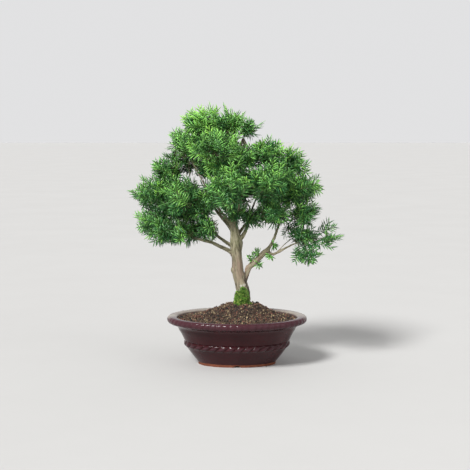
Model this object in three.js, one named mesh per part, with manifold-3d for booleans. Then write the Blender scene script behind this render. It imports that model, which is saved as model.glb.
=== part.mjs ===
// A yew bonsai in an oval glazed pot, in millimetres, +Z up.
// The origin is the middle of the pot's foot, on the surface that it stands on. +X runs along the pot's length.
import * as THREE from "three";
import { mergeVertices } from "three/addons/utils/BufferGeometryUtils.js";
import Module from "manifold-3d";

const wasm = await Module();
wasm.setup();

// ---------- driving dimensions ----------
const POT_LENGTH = 280; // over the rim
const POT_WIDTH = 216; // over the rim
const POT_HEIGHT = 97;
const WALL = 7; // thickness of the wall
const FLOOR = 7; // thickness of the floor
const LIP_WIDTH = 20; // how far the rim stands out past the neck
const LIP_DROP = 13; // height of the rolled edge of the rim
const NECK_DROP = 22; // from the top of the rim down to the neck
const BELLY_INSET = 37.5; // the wall under the rope band, in from the rim
const BAND_HEIGHT = 41; // middle of the rope band above the surface
const BAND_RADIUS = 4.5; // of the rope that runs round the wall
const FOOT_INSET = 62; // the foot, in from the rim
const FOOT_WIDTH = 9; // of the ring that the pot stands on
const FOOT_HEIGHT = 5;
const NOTCH_RADIUS = 4; // of the arch cut through the foot ring, front and back
const HOLE_RADIUS = 8; // of each drain hole
const HOLE_SPACING = 76; // between the drain holes
const SCREEN_SIDE = 32; // of the plastic mesh over a drain hole
const SCREEN_THICK = 1;
const SCREEN_CELLS = 5; // openings along each side of a screen
const SCREEN_BAR = 2.2; // between two openings
const CLIP_RADIUS = 0.6; // of the wire that holds a screen down
const CLIP_REACH = 15; // how far a clip's feet turn out under the floor, from its middle
const CLIP_LOOP = 4; // height of the clip's bow over the screen
const GRAVEL_DEPTH = 12; // coarse layer at the bottom
const SOIL_DROP = 7; // soil at the wall, below the top of the rim
const SOIL_CROWN = 22; // top of the mound above the top of the rim
const MOUND_RADIUS = 34; // of the level top of the mound
const TREE_HEIGHT = 395; // from the top of the mound to the top of the crown
const TREE_SPREAD = 420; // across the crown, left to right
const TREE_DEPTH = 250; // across the crown, front to back
const TRUNK_RADIUS = 18; // where the trunk meets the soil
const ROOT_REACH = 62; // how far the roots run out in the soil from the middle of the trunk
const ROOT_RADIUS = 6; // of a root where it leaves the trunk
const TRUNK_X = 11.5; // the trunk stands a little to the right of the pot's middle
const ROOT_DEPTH = 18; // how far the trunk goes down into the soil
const TUFT_RADIUS = 8; // of a short leafy shoot straight off the bark
const MOSS_THICK = 2.6;
const MOSS_HEIGHT = 38;
const GAP = 0.3; // between two pieces that touch
const POT_SEGMENTS = 40;

// ---------- materials ----------
const finish = (color, roughness, metalness = 0) => new THREE.MeshStandardMaterial({ color, roughness, metalness });
const glaze = finish(0x3e272a, 0.25);
const meshPlastic = finish(0x1f2120, 0.6);
const wire = finish(0xa8a49c, 0.4, 0.9);
const gravelStone = finish(0xa3937a, 0.95);
const soilStone = finish(0x5d4c40, 0.95);
const bark = finish(0x8f876d, 0.85);
const mossGreen = finish(0x58722f, 0.95);
const needleGreen = finish(0x4a7a3e, 0.6);

// ---------- geometry to solid and back ----------
function toSolid(geometry) {
  const bare = geometry.clone();
  for (const name of Object.keys(bare.attributes)) if (name !== "position") bare.deleteAttribute(name);
  const merged = mergeVertices(bare, 1e-4);
  return new wasm.Manifold(
    new wasm.Mesh({
      numProp: 3,
      vertProperties: new Float32Array(merged.attributes.position.array),
      triVerts: new Uint32Array(merged.index.array),
    }),
  );
}

function toGeometry(solid) {
  const { vertProperties, triVerts, numProp, numVert } = solid.getMesh();
  const position = new Float32Array(numVert * 3);
  for (let i = 0; i < numVert; i++) position.set(vertProperties.subarray(i * numProp, i * numProp + 3), i * 3);
  const geometry = new THREE.BufferGeometry();
  geometry.setAttribute("position", new THREE.BufferAttribute(position, 3));
  geometry.setIndex(new THREE.BufferAttribute(new Uint32Array(triVerts), 1));
  geometry.computeVertexNormals();
  return geometry;
}

const largest = (solid) => solid.decompose().sort((a, b) => b.volume() - a.volume())[0];
const joined = (solids) => solids.reduce((sum, next) => sum.add(next));

const object = new THREE.Group();
function place(name, solid, material) {
  const mesh = new THREE.Mesh(toGeometry(solid), material);
  mesh.name = name;
  object.add(mesh);
  return solid;
}

// ---------- shapes ----------
// A turned profile made oval. Each profile point is (half the length at that height, height). The half width is less
// by the same amount all the way up the wall, and in proportion across the floor.
const OVAL_STEP = (POT_LENGTH - POT_WIDTH) / 2;
const FLAT_RADIUS = POT_LENGTH / 2 - FOOT_INSET - FOOT_WIDTH;
const halfWidth = (r) => (r > FLAT_RADIUS ? r - OVAL_STEP : (r * (FLAT_RADIUS - OVAL_STEP)) / FLAT_RADIUS);
function oval(profile) {
  const geometry = new THREE.LatheGeometry(profile, POT_SEGMENTS).rotateX(Math.PI / 2);
  const p = geometry.attributes.position;
  for (let i = 0; i < p.count; i++) {
    const r = Math.hypot(p.getX(i), p.getY(i));
    if (r > 0) p.setY(i, (p.getY(i) * halfWidth(r)) / r);
  }
  return geometry;
}

const limbCurve = (route) => new THREE.CatmullRomCurve3(route, false, "centripetal");

// The radius of a limb at a share of the way along its curve.
function limbRadius(curve, radii, share) {
  const along = curve.getUtoTmapping(share) * (radii.length - 1);
  const before = Math.min(Math.floor(along), radii.length - 2);
  return THREE.MathUtils.lerp(radii[before], radii[before + 1], along - before);
}

// A tapering round limb along a smooth route. extra makes it thicker and longer, as a cutter.
function limbSolid({ route, radii, sides = 6, steps = 9 }, extra = 0) {
  const curve = limbCurve(route);
  const { tangents, normals, binormals } = curve.computeFrenetFrames(steps);
  const geometry = new THREE.CylinderGeometry(1, 1, 1, sides, steps);
  const p = geometry.attributes.position;
  const point = new THREE.Vector3();
  for (let i = 0; i < p.count; i++) {
    const u = p.getY(i) + 0.5;
    const k = Math.round(u * steps);
    const radius = limbRadius(curve, radii, u) + extra;
    curve.getPointAt(u, point);
    if (k === 0) point.addScaledVector(tangents[k], -extra);
    if (k === steps) point.addScaledVector(tangents[k], extra);
    point.addScaledVector(normals[k], p.getX(i) * radius).addScaledVector(binormals[k], -p.getZ(i) * radius);
    p.setXYZ(i, point.x, point.y, point.z);
  }
  return toSolid(geometry);
}

function ellipsoid(centre, radii, extra = 0, detail = 2) {
  const geometry = new THREE.IcosahedronGeometry(1, detail);
  geometry.scale(radii.x + extra, radii.y + extra, radii.z + extra);
  geometry.translate(centre.x, centre.y, centre.z);
  return toSolid(geometry);
}

function cylinder(radius, height, sides) {
  return new THREE.CylinderGeometry(radius, radius, height, sides).rotateX(Math.PI / 2);
}

// ---------- pot ----------
const RIM = POT_LENGTH / 2;
const NECK = RIM - LIP_WIDTH;
const BELLY = RIM - BELLY_INSET;
const FOOT = RIM - FOOT_INSET;
const NECK_HEIGHT = POT_HEIGHT - NECK_DROP;
const FLOOR_TOP = FOOT_HEIGHT + FLOOR;
const LOWER_WALL = new THREE.Vector2(BELLY, BAND_HEIGHT - BAND_RADIUS - 1);
const lip = (inset, drop) => new THREE.Vector2(RIM - inset, POT_HEIGHT - drop);
const flare = new THREE.SplineCurve([
  new THREE.Vector2(BELLY, BAND_HEIGHT + BAND_RADIUS + 1),
  new THREE.Vector2(BELLY + 0.36 * (NECK - BELLY), BAND_HEIGHT + 0.42 * (NECK_HEIGHT - BAND_HEIGHT)),
  new THREE.Vector2(NECK, NECK_HEIGHT),
]);
const FLARE_STEPS = 4;

// The wall's outside between foot and neck, without the rope band.
const wallOutside = [new THREE.Vector2(FOOT + 1, FOOT_HEIGHT), LOWER_WALL, ...flare.getPoints(FLARE_STEPS)];
function wallRadius(height) {
  const above = wallOutside.findIndex((p) => p.y > height);
  const [a, b] = [wallOutside[above - 1], wallOutside[above]];
  return THREE.MathUtils.lerp(a.x, b.x, (height - a.y) / (b.y - a.y));
}
// Its inside, from the floor to the bottom of the lip.
const INSIDE_FLOOR = FLOOR_TOP + 2; // the corner between floor and wall is eased over this height
const insideWall = [
  new THREE.Vector2(wallRadius(INSIDE_FLOOR) - WALL, INSIDE_FLOOR),
  ...wallOutside.slice(1, -1).map((p) => new THREE.Vector2(p.x - WALL, p.y)),
  new THREE.Vector2(NECK - WALL, NECK_HEIGHT),
];
const LIP_INSIDE = new THREE.Vector2(RIM - LIP_WIDTH + 1, POT_HEIGHT - 3);

function ropeBand() {
  const arc = [];
  for (let k = 0; k <= 4; k++) {
    const turn = -Math.PI / 2 + (Math.PI * k) / 4;
    arc.push(new THREE.Vector2(BELLY + 0.75 * BAND_RADIUS * Math.cos(turn), BAND_HEIGHT + BAND_RADIUS * Math.sin(turn)));
  }
  return arc;
}

function makePot() {
  const outline = [
    new THREE.Vector2(0, FOOT_HEIGHT),
    new THREE.Vector2(FOOT - FOOT_WIDTH, FOOT_HEIGHT),
    new THREE.Vector2(FOOT - FOOT_WIDTH, 0),
    new THREE.Vector2(FOOT, 0),
    ...wallOutside.slice(0, 2),
    ...ropeBand(),
    ...wallOutside.slice(2),
    lip(4, LIP_DROP),
    lip(0.6, 0.75 * LIP_DROP),
    lip(0, 0.5 * LIP_DROP),
    lip(2, 2),
    lip(6, 0),
    new THREE.Vector2(LIP_INSIDE.x + 3, POT_HEIGHT),
    LIP_INSIDE,
    ...insideWall.slice().reverse(),
    new THREE.Vector2(insideWall[0].x - 3, FLOOR_TOP),
    new THREE.Vector2(0, FLOOR_TOP),
  ];
  let pot = toSolid(oval(outline));
  for (const side of [-1, 1]) {
    const drain = cylinder(HOLE_RADIUS, 4 * FLOOR, 24).translate((side * HOLE_SPACING) / 2, 0, FOOT_HEIGHT + FLOOR / 2);
    pot = pot.subtract(toSolid(drain));
    const ring = halfWidth(FOOT - FOOT_WIDTH / 2);
    const arch = new THREE.CylinderGeometry(NOTCH_RADIUS, NOTCH_RADIUS, 3 * FOOT_WIDTH, 16).translate(0, side * ring, 0);
    pot = pot.subtract(toSolid(arch.scale(1.8, 1, 1)));
  }
  return place("pot", pot, glaze);
}

// ---------- drain screens and their wire clips ----------
const CELL = (SCREEN_SIDE - (SCREEN_CELLS + 1) * SCREEN_BAR) / SCREEN_CELLS;
const PITCH = CELL + SCREEN_BAR;
const SCREEN_LOW = FLOOR_TOP + GAP;

function makeScreen(name, x) {
  const middle = SCREEN_LOW + SCREEN_THICK / 2;
  let screen = toSolid(new THREE.BoxGeometry(SCREEN_SIDE, SCREEN_SIDE, SCREEN_THICK).translate(x, 0, middle));
  for (let i = 0; i < SCREEN_CELLS; i++) {
    for (let j = 0; j < SCREEN_CELLS; j++) {
      const [u, v] = [i, j].map((k) => (k - (SCREEN_CELLS - 1) / 2) * PITCH);
      const cell = new THREE.BoxGeometry(CELL, CELL, 3 * SCREEN_THICK).translate(x + u, v, middle);
      screen = screen.subtract(toSolid(cell));
    }
  }
  return place(name, screen, meshPlastic);
}

// The clip goes over the screen, down through two of its openings and the drain hole, and turns out under the floor.
function clipSolid(x, extra = 0) {
  const leg = PITCH;
  const top = SCREEN_LOW + SCREEN_THICK + CLIP_LOOP;
  const under = FOOT_HEIGHT - CLIP_RADIUS - GAP;
  const route = [
    [-CLIP_REACH, under],
    [-leg - 1.5, under],
    [-leg, under + 2],
    [-leg, SCREEN_LOW + SCREEN_THICK],
    [-leg + 2, top],
    [leg - 2, top],
    [leg, SCREEN_LOW + SCREEN_THICK],
    [leg, under + 2],
    [leg + 1.5, under],
    [CLIP_REACH, under],
  ].map(([across, height]) => new THREE.Vector3(x + across, 0, height));
  return limbSolid({ route, radii: [CLIP_RADIUS, CLIP_RADIUS], sides: 6, steps: 24 }, extra);
}

// ---------- soil ----------
const RIM_TOP = POT_HEIGHT;
const CROWN = RIM_TOP + SOIL_CROWN; // the level top of the mound
const SOIL_EDGE = RIM_TOP - SOIL_DROP;
const GRAVEL_TOP = FLOOR_TOP + GAP + GRAVEL_DEPTH;

function insideRadius(height) {
  const line = [...insideWall, LIP_INSIDE];
  const above = line.findIndex((p) => p.y > height);
  if (above < 1) return line[0].x;
  const [a, b] = [line[above - 1], line[above]];
  return THREE.MathUtils.lerp(a.x, b.x, (height - a.y) / (b.y - a.y)) - GAP;
}
const soilPoint = (height) => new THREE.Vector2(insideRadius(height), height);
const wallPoints = (low, high) => insideWall.filter((p) => p.y > low && p.y < high).map((p) => soilPoint(p.y));

function layer(low, high) {
  return [new THREE.Vector2(0, low), new THREE.Vector2(insideRadius(low) - 3, low), ...wallPoints(low, high), soilPoint(high)];
}

// The mound's sides fall from its level top to the wall in a hollow curve.
function mound() {
  const edge = insideRadius(SOIL_EDGE);
  const slope = new THREE.QuadraticBezierCurve(
    new THREE.Vector2(edge, SOIL_EDGE),
    new THREE.Vector2(0.72 * edge, SOIL_EDGE + 1),
    new THREE.Vector2(MOUND_RADIUS, CROWN),
  );
  return [...slope.getPoints(6).slice(1), new THREE.Vector2(0, CROWN)];
}

function makeSoil(rootsCutter, potParts) {
  let gravel = toSolid(oval([...layer(FLOOR_TOP + GAP, GRAVEL_TOP), new THREE.Vector2(0, GRAVEL_TOP)]));
  for (const cutter of potParts) gravel = gravel.subtract(cutter);
  place("drainage_gravel", gravel, gravelStone);

  const heap = oval([...layer(GRAVEL_TOP + GAP, SOIL_EDGE), ...mound()]);
  const p = heap.attributes.position;
  for (let i = 0; i < p.count; i++) {
    const rise = Math.max(0, (p.getZ(i) - SOIL_EDGE) / (CROWN - SOIL_EDGE));
    const r = Math.hypot(p.getX(i), p.getY(i));
    p.setX(i, p.getX(i) + TRUNK_X * rise);
    // the mound is rounder than the pot
    if (r > 0 && rise > 0) p.setY(i, p.getY(i) * (1 + 0.35 * rise * rise));
  }
  return place("soil", largest(toSolid(heap).subtract(rootsCutter)), soilStone);
}

// ---------- tree ----------
// The tree is drawn on a frame of its own: across, deep and high, each in hundredths of the tree's half spread, half
// depth and height, from the middle of the trunk where it leaves the soil. Thickness is in hundredths of TRUNK_RADIUS.
const [ACROSS, DEEP, HIGH] = [TREE_SPREAD / 200, TREE_DEPTH / 200, TREE_HEIGHT / 100];
const STEM_ACROSS = 5.5; // where the tables below have the foot of the trunk
const at = ([x, y, z]) => new THREE.Vector3(TRUNK_X + (x - STEM_ACROSS) * ACROSS, y * DEEP, CROWN + z * HIGH);
const thick = (t) => (t * TRUNK_RADIUS) / 100;

const trunkLine = [
  [STEM_ACROSS, 0, -ROOT_DEPTH / HIGH], [STEM_ACROSS, 0, 0], [6.2, 0, 6], [3.8, 1, 11], [1, 1, 16], [0.3, 0, 22], [-0.6, -1, 27],
  [-0.6, 0, 31], [-1.6, 1, 34.5], [-2.6, 1, 39], [-3.4, 0, 42.5], [-5, -2, 51], [-8, -1, 59], [-14, 2, 69],
  [-21, 1, 79], [-27, 0, 88],
];
const trunkGirth = [102, 93, 84, 72, 66, 54, 54, 68, 60, 50, 44, 27, 22, 17, 13, 8];
const ROOTS = [12, 70, 128, 190, 243, 302]; // directions that the roots run in, in degrees

function trunkSolid(extra = 0) {
  const stem = limbSolid({ route: trunkLine.map(at), radii: trunkGirth.map(thick), sides: 10, steps: 44 }, extra);
  const foot = at([STEM_ACROSS, 0, 0]);
  const roots = ROOTS.map((degrees) => {
    const turn = THREE.MathUtils.degToRad(degrees);
    const out = new THREE.Vector3(Math.cos(turn), Math.sin(turn), 0);
    const step = (reach, drop) => foot.clone().addScaledVector(out, reach * ROOT_REACH).setZ(CROWN - drop * ROOT_DEPTH);
    const route = [step(0.1, 0.5), step(0.4, 1.2), step(0.7, 2), step(1, 2.8)];
    const radii = [1, 0.9, 0.65, 0.3].map((share) => share * ROOT_RADIUS);
    return limbSolid({ route, radii, sides: 6, steps: 5 }, extra);
  });
  const scar = ellipsoid(at([-2.6, -1, 17.6]), new THREE.Vector3(7, 6, 8), extra, 1);
  return joined([stem, ...roots, scar]);
}

// name, route, thickness at each point of the route
const limbs = [
  ["limb_low_right", [[5, 0, 9], [9, -1, 15], [11.5, -1, 19], [16, -2, 21.3], [21, -3, 24], [25.5, -3, 26.4], [30, -3, 28.4]],
    [34, 36, 34, 33, 33, 35, 30]],
  ["limb_low_right_up", [[29, -3, 27.8], [34.3, 0, 32.4], [37.9, 4, 37.7], [40.5, 8, 41.5], [40, 12, 50], [45, 14, 60]],
    [22, 20, 18, 16, 13, 9]],
  ["limb_low_right_out", [[28, -3, 27.2], [34, -5, 25.8], [42, -6, 27.8], [49.3, -8, 30.1], [60, -11, 32.4], [74, -13, 33.4], [88, -12, 32.5]],
    [18, 17, 15, 13, 11, 9, 6]],
  ["limb_low_right_twig", [[38, -4, 26.9], [45.6, 0, 31], [54, 6, 34.2], [64, 12, 38.5]], [10, 9, 8, 6]],
  ["limb_left_low", [[-1, 0, 25], [-8, -2, 27.8], [-14, -6, 29.2], [-21, -10, 31.6], [-28, -14, 32.7], [-40, -20, 34.5], [-55, -24, 37], [-75, -24, 39.5]],
    [30, 26, 25, 23, 20, 16, 12, 8]],
  ["limb_left_mid", [[-2, 1, 29], [-10, 5, 31.5], [-20.3, 12, 35.3], [-30, 20, 39.5], [-45, 28, 45], [-63, 30, 49], [-80, 24, 51]],
    [24, 22, 19, 16, 13, 10, 7]],
  ["limb_left_upper", [[-3, 0, 36.5], [-8, 3, 40.5], [-14.3, 8, 44], [-20.3, 12, 48], [-32, 16, 54.7], [-47, 12, 60], [-64, 2, 64.5]],
    [26, 24, 21, 19, 15, 12, 8]],
  ["limb_left_crown", [[-3, -1, 39.5], [-9, -6, 43.5], [-16.8, -10, 48.5], [-24, -12, 54.7], [-35, -12, 65.5], [-44, -10, 75], [-50, -8, 83]],
    [22, 20, 18, 15, 12, 9, 7]],
  ["limb_right_upper", [[-1, 0, 31.5], [4.5, -2, 34.5], [8.8, -4, 37.7], [11.4, -6, 43.5], [17, -6, 52.7], [27, -3, 62.8], [38, 0, 72]],
    [24, 22, 20, 17, 14, 11, 8]],
  ["limb_crown_right", [[-4.5, -1, 48], [-3, -3, 55], [0, -2, 64], [3, 0, 73], [5, 3, 82], [8, 2, 89]], [17, 15, 13, 11, 9, 6]],
  ["limb_front", [[-2.5, 0, 40], [-1, -22, 46], [2, -45, 52], [-2, -68, 57.5], [-8, -80, 62]], [20, 17, 14, 11, 7]],
  ["limb_back", [[-2, 0, 38], [-3, 24, 44], [0, 48, 50], [5, 70, 56], [4, 82, 61]], [20, 17, 14, 11, 7]],
  ["limb_back_right", [[-2, 0, 34], [8, 18, 40], [20, 34, 47], [34, 46, 55], [44, 50, 60]], [19, 16, 13, 10, 7]],
].map(([name, route, girth]) => ({ name, route: route.map(at), radii: girth.map(thick) }));

// Foliage pads: name, middle and half sizes, in the tree's own hundredths.
const pads = [
  ["pad_crown_apex", [-34, 0, 92], [20, 32, 8]],
  ["pad_crown_top", [-9, 8, 92], [17, 29, 6.6]],
  ["pad_crown_tip", [9, -4, 89], [13, 21, 5]],
  ["pad_crown_left", [-48, -8, 81.5], [18.5, 32, 9]],
  ["pad_crown_front", [-21, -44, 79.5], [23, 32, 9]],
  ["pad_crown_back", [-21, 50, 82], [24, 34, 10]],
  ["pad_crown_core", [-8, 4, 75], [21, 36, 10]],
  ["pad_left_shoulder", [-67, -8, 67], [17, 32, 6.4]],
  ["pad_left_outer", [-81.6, 0, 56], [18, 36, 8.8]],
  ["pad_left_outer_low", [-79, -8, 42.5], [20, 34, 7.6]],
  ["pad_left_mid", [-55, -32, 55], [21, 32, 9.6]],
  ["pad_left_inner", [-35, -18, 51], [15, 30, 9]],
  ["pad_left_low", [-61, -20, 37.2], [24, 32, 7.2]],
  ["pad_left_low_inner", [-29, -22, 39.4], [14, 28, 7.2]],
  ["pad_left_back", [-57, 50, 50], [28, 38, 13]],
  ["pad_centre_front", [-10, -64, 59], [22, 34, 12]],
  ["pad_centre_upper", [-9, -24, 70], [18, 30, 8]],
  ["pad_centre_low", [-3, -28, 47.5], [12, 22, 6.4]],
  ["pad_centre_back", [0, 62, 59], [25, 37, 13]],
  ["pad_right_top", [28, 0, 77], [18, 31, 7.6]],
  ["pad_right_shoulder", [51, -4, 72], [17, 31, 7.8]],
  ["pad_right_mid", [31, -38, 62.5], [22, 33, 10.5]],
  ["pad_right_outer", [61.6, -4, 58.5], [17, 32, 9.6]],
  ["pad_right_outer_low", [67, -8, 46.6], [17.4, 31, 7.6]],
  ["pad_right_low", [38, -16, 46.8], [20, 31, 7]],
  ["pad_right_low_inner", [14, -18, 45.5], [12, 24, 6.4]],
  ["pad_right_back", [38, 50, 58], [26, 37, 13]],
  ["pad_low_right", [67, -8, 34], [17, 26, 5.4]],
  ["pad_low_right_tip", [88.6, -12, 33.2], [11.4, 14, 3.6]],
  ["pad_low_right_drop", [67, -15, 25.4], [15, 21, 6]],
].map(([name, centre, [rx, ry, rz]]) => ({
  name,
  centre: at(centre),
  radii: new THREE.Vector3(rx * ACROSS, ry * DEEP, rz * HIGH),
  detail: 2,
}));

// Short shoots straight off the bark: name, limb, share of the way along it, and the way that they grow.
const tufts = [
  ["tuft_limb_top", "limb_low_right", 0.74, [-0.35, -0.2, 1]],
  ["tuft_limb_left", "limb_low_right", 0.62, [-0.8, -0.3, 0.6]],
  ["tuft_limb_under", "limb_low_right", 0.68, [0.25, -0.3, -1]],
  ["tuft_limb_middle", "limb_low_right", 0.92, [0.65, -0.3, -0.75]],
  ["tuft_limb_fork", "limb_low_right_up", 0.07, [1, -0.4, 0.1]],
].map(([name, owner, share, way]) => {
  const { route, radii } = limbs.find((limb) => limb.name === owner);
  const curve = limbCurve(route);
  const reach = limbRadius(curve, radii, share) + 0.75 * TUFT_RADIUS;
  const centre = curve.getPointAt(share).addScaledVector(new THREE.Vector3(...way).normalize(), reach);
  return { name, centre, radii: new THREE.Vector3(1, 0.8, 1).multiplyScalar(TUFT_RADIUS), detail: 1 };
});

function makeMoss() {
  const shell = trunkSolid(GAP + MOSS_THICK).subtract(trunkSolid(GAP));
  const foot = at([STEM_ACROSS, 0, 0]);
  const patch = ellipsoid(
    foot.clone().add(new THREE.Vector3(1, -0.7 * TRUNK_RADIUS, 0.2 * MOSS_HEIGHT)),
    new THREE.Vector3(1.1 * TRUNK_RADIUS, 0.95 * TRUNK_RADIUS, 0.8 * MOSS_HEIGHT),
    0,
    3,
  );
  const above = new THREE.BoxGeometry(400, 400, 200).translate(0, 0, CROWN + GAP + 100);
  return largest(shell.intersect(patch).intersect(toSolid(above)));
}

function makeTree() {
  const trunk = trunkSolid();
  const wood = [trunkSolid(GAP)];
  place("trunk", trunk, bark);
  for (const limb of limbs) {
    let solid = limbSolid(limb);
    for (const cutter of wood) solid = solid.subtract(cutter);
    place(limb.name, largest(solid), bark);
    wood.push(limbSolid(limb, GAP));
  }
  const allWood = joined(wood);
  const taken = [];
  for (const { name, centre, radii, detail } of [...pads, ...tufts]) {
    let solid = ellipsoid(centre, radii, 0, detail).subtract(allWood);
    for (const cutter of taken) solid = solid.subtract(cutter);
    place(name, largest(solid), needleGreen);
    taken.push(ellipsoid(centre, radii, GAP, detail));
  }
}

// ---------- the object ----------
makePot();
const potParts = [];
for (const [side, x] of [["left", -HOLE_SPACING / 2], ["right", HOLE_SPACING / 2]]) {
  makeScreen(`drain_screen_${side}`, x);
  place(`screen_clip_${side}`, clipSolid(x), wire);
  const side_mm = SCREEN_SIDE + 2 * GAP;
  const pocket = new THREE.BoxGeometry(side_mm, side_mm, 2 * (SCREEN_THICK + GAP)).translate(x, 0, SCREEN_LOW);
  potParts.push(toSolid(pocket), clipSolid(x, GAP));
}
makeSoil(trunkSolid(GAP), potParts);
place("moss", makeMoss(), mossGreen);
makeTree();

export default object;
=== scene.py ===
"""A yew bonsai in an oval glazed pot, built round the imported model. Everything is in metres."""

import itertools
import math

import bpy
import numpy as np
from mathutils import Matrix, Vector, bvhtree, kdtree, noise


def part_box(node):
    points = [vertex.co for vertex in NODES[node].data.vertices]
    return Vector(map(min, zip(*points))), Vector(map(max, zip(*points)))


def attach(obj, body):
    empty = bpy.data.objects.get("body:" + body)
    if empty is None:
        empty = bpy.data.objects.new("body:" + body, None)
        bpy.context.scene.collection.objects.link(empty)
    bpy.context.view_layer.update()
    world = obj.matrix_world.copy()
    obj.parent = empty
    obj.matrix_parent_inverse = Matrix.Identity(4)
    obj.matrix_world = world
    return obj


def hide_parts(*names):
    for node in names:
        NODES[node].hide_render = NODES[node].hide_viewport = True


bl_info = {
    "name": "Yew bonsai in an oval pot",
    "version": (1, 0, 0),
    "blender": (4, 5, 0),
    "location": "View3D > Sidebar > Bonsai",
    "description": "Builds a potted yew: pot, soil, moss, bark, twigs and needles",
    "category": "Add Mesh",
}

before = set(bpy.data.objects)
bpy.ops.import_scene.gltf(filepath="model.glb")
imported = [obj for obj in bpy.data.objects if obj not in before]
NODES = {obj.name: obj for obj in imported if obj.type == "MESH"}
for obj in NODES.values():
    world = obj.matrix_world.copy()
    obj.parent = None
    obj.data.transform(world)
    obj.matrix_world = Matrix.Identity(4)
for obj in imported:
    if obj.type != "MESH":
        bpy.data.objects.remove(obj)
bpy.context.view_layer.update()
PADS = sorted(name for name in NODES if name.startswith(("pad_", "tuft_")))
WOOD = sorted(name for name in NODES if name.startswith(("trunk", "limb_")))
MM = 0.001


# ---------- settings ----------
def length(name, description, default):
    return bpy.props.FloatProperty(
        name=name, description=description, default=default, min=0, unit="LENGTH"
    )


def colour(name, description, default):
    return bpy.props.FloatVectorProperty(
        name=name, description=description, default=default, min=0, max=1, size=3, subtype="COLOR"
    )


class PotSettings(bpy.types.PropertyGroup):
    band_height: length("Band height", "Middle of the rope band above the foot", 0.041)
    band_half: length("Band half height", "Half the height of the rope band", 0.0062)
    band_relief: length("Band relief", "How far the rope stands out of the wall", 0.0036)
    strand_pitch: length("Strand pitch", "Distance between two strands of the rope band", 0.0165)
    edge_pitch: length("Edge pitch", "Distance between two bumps along the edge of the rim", 0.013)
    edge_relief: length("Edge relief", "Depth of the hollows between the bumps of the edge", 0.0011)
    foot_height: length("Foot height", "Height of the foot that the glaze stops above", 0.0052)
    glaze: colour("Glaze", "Colour of the glaze where it is thick", (0.045, 0.0098, 0.0122))
    # the thin glaze over edges, and also the painted sheen on the top of the rim
    glaze_thin_and_sheen: colour("Thin glaze", "Colour of the glaze over an edge", (0.092, 0.042, 0.056))
    # painted reflection of the bright room, grey-beige, on the ends and the back of the rim's top
    painted_reflection: colour("Bloom", "Colour of the matt bloom on the ends and the back of the rim", (0.36, 0.32, 0.27))
    clay: colour("Clay", "Colour of the bare fired clay", (0.265, 0.088, 0.048))


class SoilSettings(bpy.types.PropertyGroup):
    spacing: length("Grain spacing", "Distance between two grains of the top layer", 0.0025)
    grain: length("Grain size", "Usual size of a grain", 0.0034)
    brown: colour("Brown grains", "Colour of the baked clay grains", (0.097, 0.061, 0.040))
    red: colour("Red grains", "Colour of the lava grains", (0.155, 0.062, 0.042))
    pale: colour("Pale grains", "Colour of the pumice grains", (0.265, 0.200, 0.112))
    dark: colour("Dark grains", "Colour of the charred and wet grains", (0.020, 0.018, 0.018))


class WoodSettings(bpy.types.PropertyGroup):
    voxel: length("Voxel", "Size of the cells that the limbs are joined with", 0.00115)
    fluting: length("Fluting", "Depth of the hollows that run along the bark", 0.0011)
    bark: colour("Bark", "Main colour of the bark", (0.215, 0.190, 0.118))
    bark_pale: colour("Pale bark", "Colour of the dry outer flakes", (0.350, 0.315, 0.215))
    # the dark streaks' colour; made darker still, it is the painted shade in the hollows and the fold
    bark_dark_and_shade: colour("Dark bark", "Colour of the hollows and of damp bark", (0.055, 0.042, 0.028))
    bark_red: colour("Red bark", "Colour where flakes have come off", (0.250, 0.170, 0.125))
    lichen: colour("Lichen", "Colour of the lichen just above the moss", (0.50, 0.49, 0.42))


class FoliageSettings(bpy.types.PropertyGroup):
    needle: length("Needle length", "Length of a full-grown needle", 0.0175)
    needle_width: length("Needle width", "Width of a full-grown needle", 0.0025)
    spacing: length("Needle spacing", "Distance along a shoot between two needles", 0.0021)
    shoot: length("Shoot length", "Length of a side shoot", 0.026)
    shoot_gap: length("Shoot gap", "Distance along a branchlet between two side shoots", 0.021)
    cell: length("Branchlet spacing", "Distance between the tips of two branchlets", 0.0235)
    # old needles' colour, which also stands for painted shade inside the crown
    old_and_shaded: colour("Old needles", "Colour of the needles inside the crown", (0.030, 0.160, 0.048))
    grown: colour("Grown needles", "Colour of most needles", (0.275, 0.660, 0.150))
    # young needles' colour, which also stands for painted light on the top of the crown and on upward sprays
    young_and_lit: colour("Young needles", "Colour of the needles at the tips", (0.390, 0.800, 0.110))
    stem: colour("Stems", "Colour of the stems that carry the needles", (0.10, 0.15, 0.04))
    moss: colour("Moss", "Colour of the moss where it is brightest", (0.145, 0.33, 0.03))
    moss_dry: colour("Dry moss", "Colour of the moss where it has dried", (0.36, 0.42, 0.09))


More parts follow.
